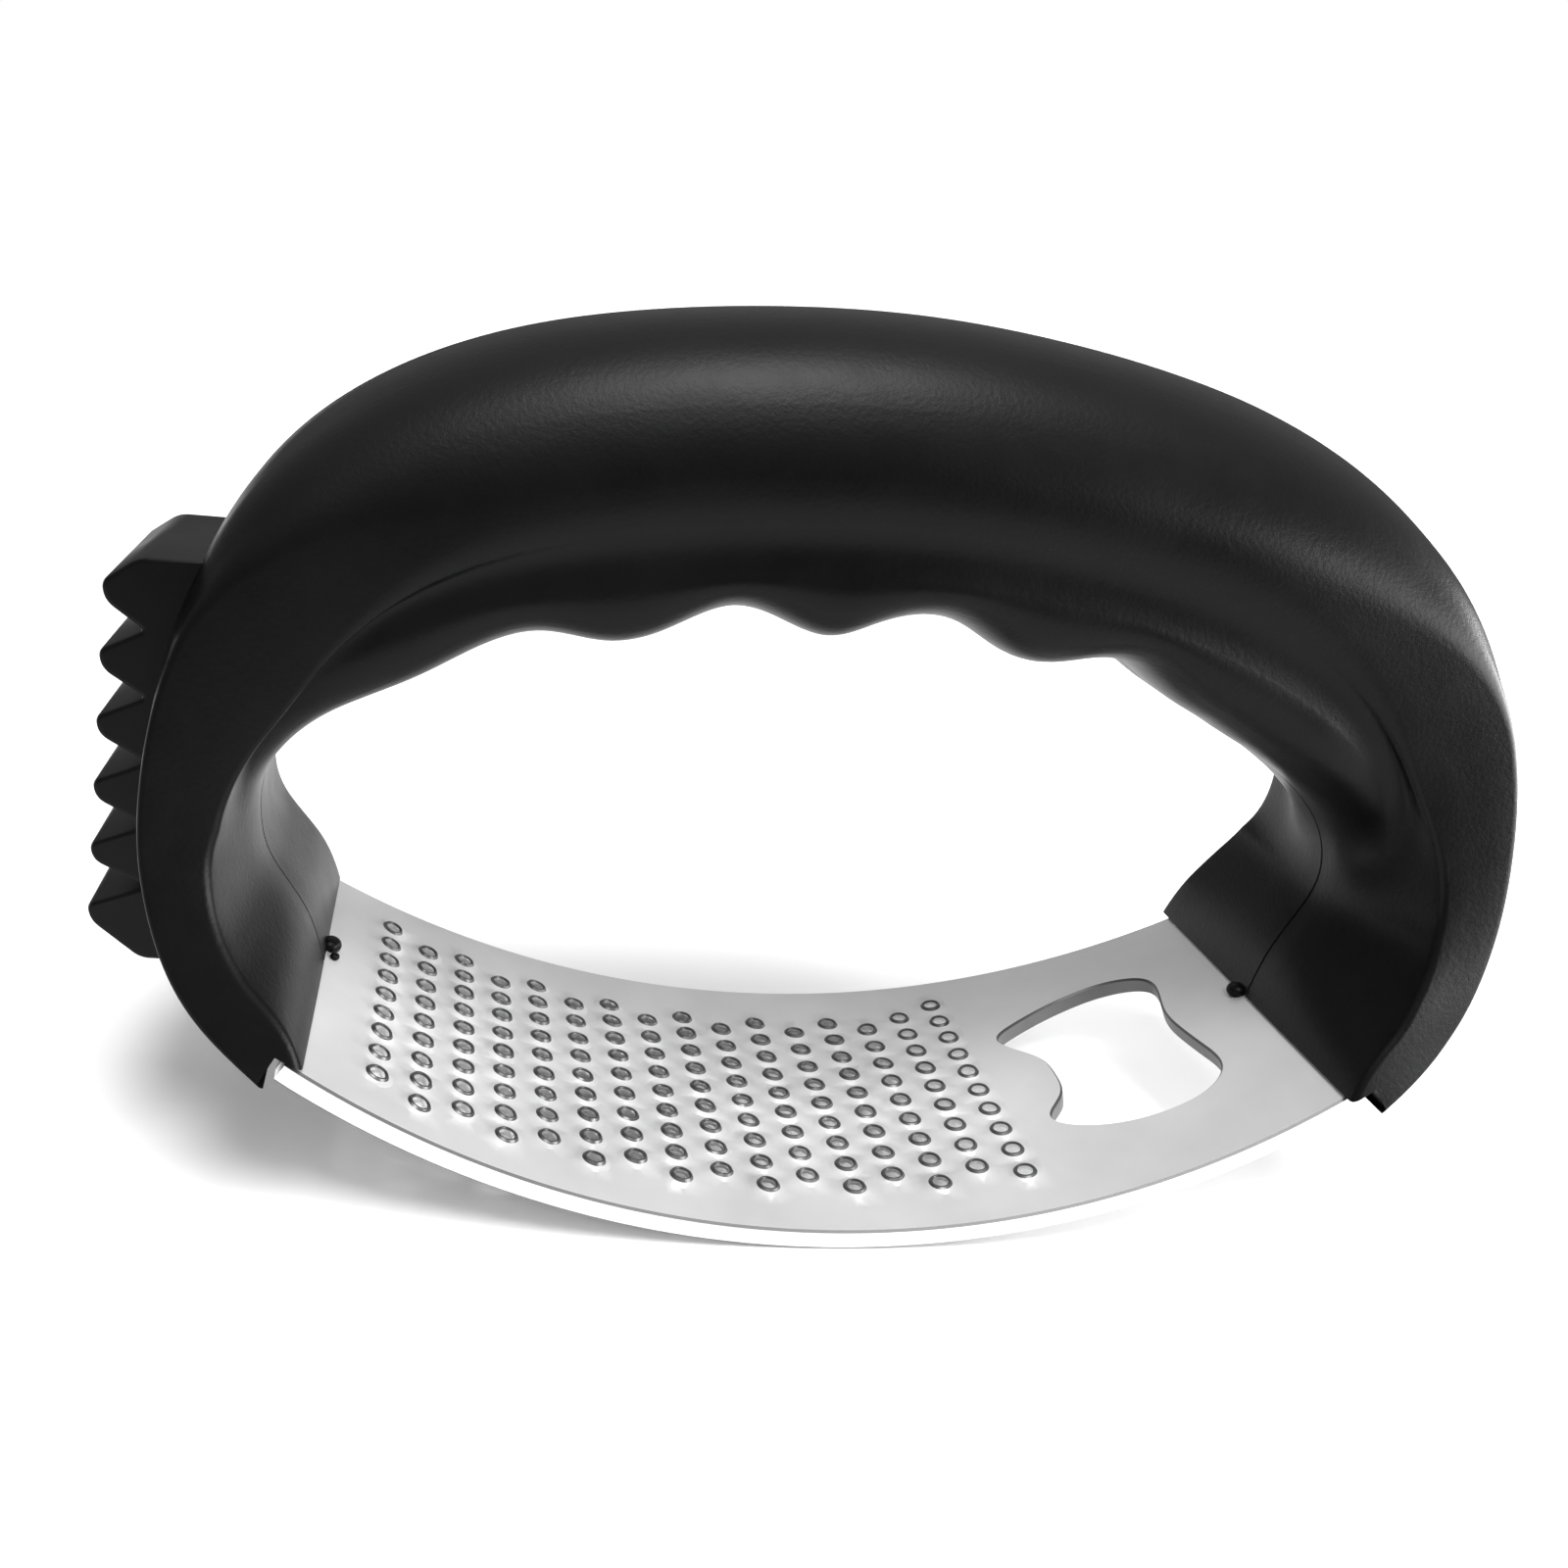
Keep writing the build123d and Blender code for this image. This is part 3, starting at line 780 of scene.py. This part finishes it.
def make_plate(material, sheared_and_painted_light_material, painted_shade_material):
    """The plate with its raised craters, dimpled sole, bevelled edges and opener."""
    centres = hole_centres()
    outline = even_steps(plate_outline(PLATE_BEVEL), OUTLINE_STEP)
    opener = even_outward(opener_outline(), PLATE_BEVEL)
    flat, triangles, starts = plate_field(outline, opener, centres)
    count = len(flat)
    points = [on_plate(arc, y, 0.0) for arc, y in flat]
    points += [on_plate(arc, y, -PLATE_THICKNESS) for arc, y in flat]
    faces = [tuple(triangle) for triangle in triangles]
    faces += [tuple(count + vert for vert in reversed(triangle)) for triangle in triangles]
    sides = [(outline, PLATE_BEVEL), (opener, -PLATE_BEVEL)]
    for (line, outward), start in zip(sides, starts):
        n = len(line)
        base = len(points)
        grown = even_outward(line, outward)
        points += [on_plate(arc, y, -PLATE_BEVEL) for arc, y in grown]
        points += [on_plate(arc, y, PLATE_BEVEL - PLATE_THICKNESS) for arc, y in grown]
        join_rings(faces, [start, base, base + n, count + start], n)
    random.seed(RIM_SEED)
    for centre, start in zip(centres, starts[len(sides):]):
        add_crater(points, faces, centre, start, count + start)
    nodes = ["rocker_plate"]
    plate = make_object("rocker_plate_skin", points, faces, material, nodes, FLAT_ANGLE)
    # Besides the satin steel: sheared steel with painted light for the sides and the holes, and dark steel
    # for painted shade on the rims, bevels and end walls.
    plate.data.materials.append(sheared_and_painted_light_material)
    plate.data.materials.append(painted_shade_material)
    holes = np.array(centres)
    for face in plate.data.polygons:
        face.material_index = face_finish_and_painted_light(face, holes)


def face_finish_and_painted_light(face, holes):
    """Which material slot a face takes: sheared steel with a painted highlight on the sides, painted light
    in the holes, and painted shade on the rims and bevels.
    """
    x = (face.center.x - RING_CENTRE_X) / MM
    y = face.center.y / MM
    drop = PLATE_CENTRE_Z - face.center.z / MM
    depth = hypot(x, drop) - PLATE_RADIUS
    # The long sides take the sheared steel, brightened as a painted highlight.
    if PLATE_BEVEL < depth < PLATE_THICKNESS - PLATE_BEVEL and abs(y) > PLATE_HALF_WIDTH - 1:
        return SHEARED_AND_PAINTED_LIGHT
    arc = PLATE_RADIUS * atan2(x, drop)
    away = np.min(np.hypot(holes[:, 0] - arc, holes[:, 1] - y))
    # Painted shade: the raised rims, and the bevels and end walls away from the holes, take the dark steel.
    rim = away < RIM_RADIUS and depth < -RIM_RISE
    bevel = away > CRATER[-1][0] and min(depth, PLATE_THICKNESS - depth) > OFF_THE_FLAT
    if rim or bevel:
        return PAINTED_SHADE
    # Painted light: the rest of each hole's inside takes the bright steel, as if lit through the hole.
    return SHEARED_AND_PAINTED_LIGHT if away < RIM_RADIUS else SATIN


def even_outward(line, distance):
    """The closed line moved away from its middle, or towards it where the distance is below zero."""
    tangent = np.roll(line, -1, axis=0) - np.roll(line, 1, axis=0)
    tangent /= np.linalg.norm(tangent, axis=1)[:, None]
    normal = np.stack([-tangent[:, 1], tangent[:, 0]], axis=1)
    outward = np.sign(np.sum(normal * (line - line.mean(axis=0)), axis=1).sum())
    return line + normal * distance * outward


def join_rings(faces, rings, n):
    """Quads between each ring of n points and the next."""
    for a, b in zip(rings, rings[1:]):
        for k in range(n):
            m = (k + 1) % n
            faces.append((a + k, a + m, b + m, b + k))


# ---------------------------------------------------------------- comb


def comb_corners():
    """The comb's outline as (x, z, rounding): each tooth has a blunt tip of two corners, then a valley."""
    corners = [(COMB_BASE_X, COMB_BOTTOM_Z, 0.0)]
    corners.append((COMB_VALLEY_X - COMB_BOTTOM_STEP, COMB_BOTTOM_Z, COMB_END_ROUNDING))
    for tooth in range(COMB_TEETH):
        tip_z = COMB_FIRST_TIP_Z + tooth * COMB_PITCH
        tip_x = COMB_TIP_X + tooth * COMB_LEAN
        for in_from_tip, up_from_tip, rounding in TOOTH_TIP:
            corners.append((tip_x + in_from_tip, tip_z + up_from_tip, rounding))
        corners.append((COMB_VALLEY_X, tip_z + COMB_PITCH / 2 - VALLEY_DROP, VALLEY_ROUNDING))
    corners[-1] = (COMB_VALLEY_X - COMB_TOP_STEP, COMB_TOP_Z, COMB_END_ROUNDING)
    corners.append((COMB_BASE_X, COMB_TOP_Z, 0.0))
    return corners


def rounded_line(corners, steps=6):
    """The closed outline with each corner that has a rounding turned into a parabola."""
    out = []
    n = len(corners)
    for i, (x, z, reach) in enumerate(corners):
        here = np.array((x, z))
        if reach == 0:
            out.append(here)
            continue
        before = np.array(corners[i - 1][:2]) - here
        after = np.array(corners[(i + 1) % n][:2]) - here
        a = here + before * min(reach / np.linalg.norm(before), 0.48)
        b = here + after * min(reach / np.linalg.norm(after), 0.48)
        for k in range(steps + 1):
            t = k / steps
            out.append((1 - t) ** 2 * a + 2 * t * (1 - t) * here + t * t * b)
    return np.array(out)


def make_comb(material):
    """The comb as an outline drawn along Y, with rounded front and back edges."""
    line = rounded_line(comb_corners())
    first_step = COMB_BEVEL * 0.3
    front_side = [
        (-COMB_HALF_DEPTH, even_outward(line, -(COMB_BEVEL + COMB_CAP_INSET))),
        (-COMB_HALF_DEPTH, even_outward(line, -COMB_BEVEL)),
        (-COMB_HALF_DEPTH + first_step, even_outward(line, -first_step)),
        (-COMB_HALF_DEPTH + COMB_BEVEL, line),
    ]
    layers = front_side + [(-y, ring) for y, ring in reversed(front_side)]
    n = len(line)
    points, faces = [], []
    for y, ring in layers:
        points += [(x, y, z) for x, z in ring]
    join_rings(faces, [n * k for k in range(len(layers))], n)
    faces.append(tuple(range(n)))
    faces.append(tuple(n * (len(layers) - 1) + k for k in range(n)))
    make_object("scaler_comb_skin", points, faces, material, ["scaler_comb"], FLAT_ANGLE)


# ---------------------------------------------------------------- stage


def make_floor():
    """White paper from just behind the camera to far behind the press."""
    material, tree, shader = new_material("floor_paper", FLOOR_WHITE, 0.8)
    paper = noise(tree, 30, detail=2.0)
    colour = grey_ramp(tree, paper.outputs["Fac"], (0.85, 0.85, 0.85), (0.87, 0.87, 0.87))
    tree.links.new(colour, shader.inputs["Base Color"])
    mesh = bpy.data.meshes.new("floor")
    front_edge = [(-FLOOR_REACH, FLOOR_FRONT_Y, 0), (FLOOR_REACH, FLOOR_FRONT_Y, 0)]
    back_edge = [(FLOOR_REACH, FLOOR_REACH, 0), (-FLOOR_REACH, FLOOR_REACH, 0)]
    mesh.from_pydata(front_edge + back_edge, [], [(0, 1, 2, 3)])
    mesh.materials.append(material)
    floor = bpy.data.objects.new("floor", mesh)
    bpy.context.scene.collection.objects.link(floor)


def make_world():
    """Daylight from above: the camera sees plain white, and the press is lit less from low down."""
    world = bpy.data.worlds.new("studio")
    bpy.context.scene.world = world
    world.use_nodes = True
    tree = world.node_tree
    background = tree.nodes["Background"]
    output = tree.nodes["World Output"]
    background.inputs["Color"].default_value = (1, 1, 1, 1)
    where = tree.nodes.new("ShaderNodeTexCoord")
    axes = tree.nodes.new("ShaderNodeSeparateXYZ")
    tree.links.new(where.outputs["Generated"], axes.inputs["Vector"])
    strength = ranged(tree, axes.outputs["Z"], low=0.1, high=1.0, from_low=0.05, from_high=0.95)
    tree.links.new(strength, background.inputs["Strength"])
    seen = tree.nodes.new("ShaderNodeBackground")
    seen.inputs["Color"].default_value = (1, 1, 1, 1)
    seen.inputs["Strength"].default_value = 1.0
    path = tree.nodes.new("ShaderNodeLightPath")
    mixer = tree.nodes.new("ShaderNodeMixShader")
    tree.links.new(path.outputs["Is Camera Ray"], mixer.inputs["Fac"])
    tree.links.new(background.outputs["Background"], mixer.inputs[1])
    tree.links.new(seen.outputs["Background"], mixer.inputs[2])
    tree.links.new(mixer.outputs["Shader"], output.inputs["Surface"])


def make_lights():
    """A wide soft sun overhead and a long low panel at the right."""
    sun = bpy.data.lights.new("overhead", "SUN")
    sun.energy = 3.4
    sun.angle = radians(29)
    key = bpy.data.objects.new("overhead", sun)
    key.rotation_euler = (radians(22), radians(4), 0)
    bpy.context.scene.collection.objects.link(key)
    panel = bpy.data.lights.new("right", "AREA")
    panel.shape = "RECTANGLE"
    panel.size = 0.8
    panel.size_y = 0.2
    panel.energy = 8.0
    light = bpy.data.objects.new("right", panel)
    place = Vector((0.6, -0.15, 0.12))
    target = Vector((0, 0, 0.03))
    light.location = place
    light.visible_camera = False
    light.rotation_euler = (target - place).to_track_quat("-Z", "Y").to_euler()
    bpy.context.scene.collection.objects.link(light)


def make_camera():
    """The photo's view: close, a little left of the press and looking down across it."""
    data = bpy.data.cameras.new("camera")
    data.sensor_width = 36
    data.lens = 33.75
    data.shift_x = 0.05
    data.clip_start = 0.005
    data.clip_end = 50
    camera = bpy.data.objects.new("camera", data)
    turn = Matrix.Rotation(radians(-CAMERA_TURN), 4, "Z")
    turn = turn @ Matrix.Rotation(radians(90 - CAMERA_TILT), 4, "X")
    turn = turn @ Matrix.Rotation(radians(CAMERA_ROLL), 4, "Z")
    x, y, z = CAMERA_PLACE
    camera.matrix_world = Matrix.Translation((RING_CENTRE_X + x, y, z)) @ turn
    bpy.context.scene.collection.objects.link(camera)
    bpy.context.scene.camera = camera


# ---------------------------------------------------------------- the press

bpy.context.scene.view_settings.view_transform = "Standard"
make_camera()
make_world()
make_lights()
make_floor()
plastic = black_plastic("grained_black_plastic", (0.0012, 0.0012, 0.0013), roughness=0.36, grain=0.00003)
comb_plastic = black_plastic("comb_black_plastic", (0.0015, 0.0015, 0.0016), roughness=0.36, grain=0.000008)
steel = satin_steel("blasted_steel", (0.62, 0.62, 0.62), roughness=0.58, metallic=0.65)
# Painted shade: dark steel that stands in for the shading on the crater rims, the bevels and the end walls.
painted_shade_steel = satin_steel("painted_shade_steel", (0.11, 0.11, 0.11), roughness=0.4, metallic=0.9)
# Sheared edge steel, brightened as a painted highlight on the plate's sides and as painted light inside the
# holes.
sheared_and_painted_light_steel = satin_steel("sheared_and_painted_light_steel", (0.8, 0.8, 0.8), roughness=0.32, metallic=0.9)
screw_metal = satin_steel("plated_screw", (0.5, 0.5, 0.51), roughness=0.3, metallic=1.0)
make_handle(plastic)
make_nub("left_end_nub", arc=-52.2, y=4.0, radius=1.15, material=plastic)
make_nub("left_end_sprue", arc=-51.5, y=2.2, radius=0.5, material=plastic)
make_nub("right_end_nub", arc=52.2, y=1.6, radius=1.1, material=plastic)
make_plate(steel, sheared_and_painted_light_steel, painted_shade_steel)
make_comb(comb_plastic)
for node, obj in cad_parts.items():
    if "screw" in node:
        obj.data.materials.clear()
        obj.data.materials.append(screw_metal)
